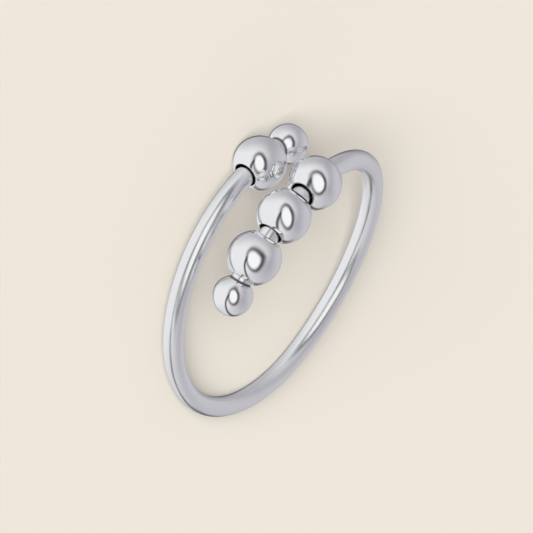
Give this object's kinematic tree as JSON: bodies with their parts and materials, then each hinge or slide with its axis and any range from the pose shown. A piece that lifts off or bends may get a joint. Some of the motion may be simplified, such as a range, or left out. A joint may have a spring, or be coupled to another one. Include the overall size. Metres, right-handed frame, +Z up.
{
  "type": "spinner ring",
  "caption": "Open bypass ring of round silver wire with a ball soldered to each end and loose drilled beads that glide and spin along its arms.",
  "frame": {"origin": "on the surface that the ring lies on, below the centre of its lower arm's circle, which is the middle of the finger hole", "axes": "+Z up, out of the surface that the ring lies on; +Y from the crossing beads at the front towards the back of the shank; +X to the side where the upper arm's end ball is"},
  "size_m": [0.0194, 0.02, 0.0071],
  "materials": {
    "silver": "mirror polished sterling silver"
  },
  "bodies": {
    "ring": {"band": "silver"},
    "lone": {"lone_bead": "silver"},
    "outer": {"outer_bead": "silver"},
    "middle": {"middle_bead": "silver"},
    "inner": {"inner_bead": "silver"}
  },
  "joints": [
    {"name": "lone_bead_glide", "type": "hinge", "parent": "ring", "child": "lone", "pos_m": [0, 0, 0.0012], "axis": [0.0405, 0.045, 0.9982], "range_deg": [0, 184]},
    {"name": "outer_bead_glide", "type": "hinge", "parent": "ring", "child": "outer", "pos_m": [0.00008, 0.00029, 0.00309], "axis": [-0.0394, -0.2531, -0.9666], "range_deg": [0, 48]},
    {"name": "middle_bead_glide", "type": "hinge", "parent": "outer", "child": "middle", "pos_m": [0.00008, 0.00029, 0.00309], "axis": [-0.0394, -0.2531, -0.9666], "range_deg": [0, 48]},
    {"name": "inner_bead_glide", "type": "hinge", "parent": "middle", "child": "inner", "pos_m": [0.00008, 0.00029, 0.00309], "axis": [-0.0394, -0.2531, -0.9666], "range_deg": [-0.5, 48]}
  ]
}
